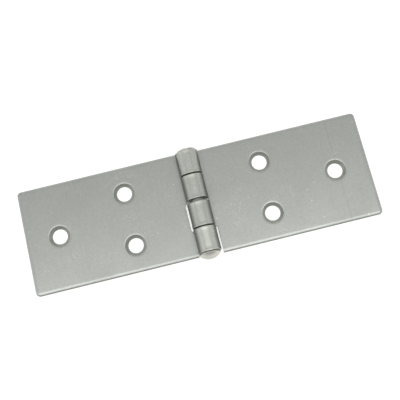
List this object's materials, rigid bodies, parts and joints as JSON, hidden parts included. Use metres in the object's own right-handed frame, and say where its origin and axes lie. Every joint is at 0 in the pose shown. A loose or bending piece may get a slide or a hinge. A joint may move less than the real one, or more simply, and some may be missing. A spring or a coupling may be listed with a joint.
{
  "type": "flat hinge",
  "caption": "Flat steel hinge: two equal sheet leaves with countersunk screw holes, rolled knuckles and a riveted pin; folds flat on itself.",
  "frame": {"origin": "middle of the pin's length, on the plane that the opened hinge lies on", "axes": "+X towards the right leaf's free end, +Y along the pin, +Z out of the countersunk face"},
  "size_m": [0.114, 0.0384, 0.0075],
  "materials": {
    "leaf_steel": "plain rolled sheet, satin, faint grain",
    "pin_steel": "plain drawn wire with hammered ends"
  },
  "bodies": {
    "fixed_leaf": {"left_leaf": "leaf_steel", "hinge_pin": "pin_steel"},
    "moving_leaf": {"right_leaf": "leaf_steel"}
  },
  "joints": [
    {"name": "leaf_fold", "type": "hinge", "parent": "fixed_leaf", "child": "moving_leaf", "pos_m": [0, 0, 0.00375], "axis": [0, -1, 0], "range_deg": [-85, 184]}
  ]
}
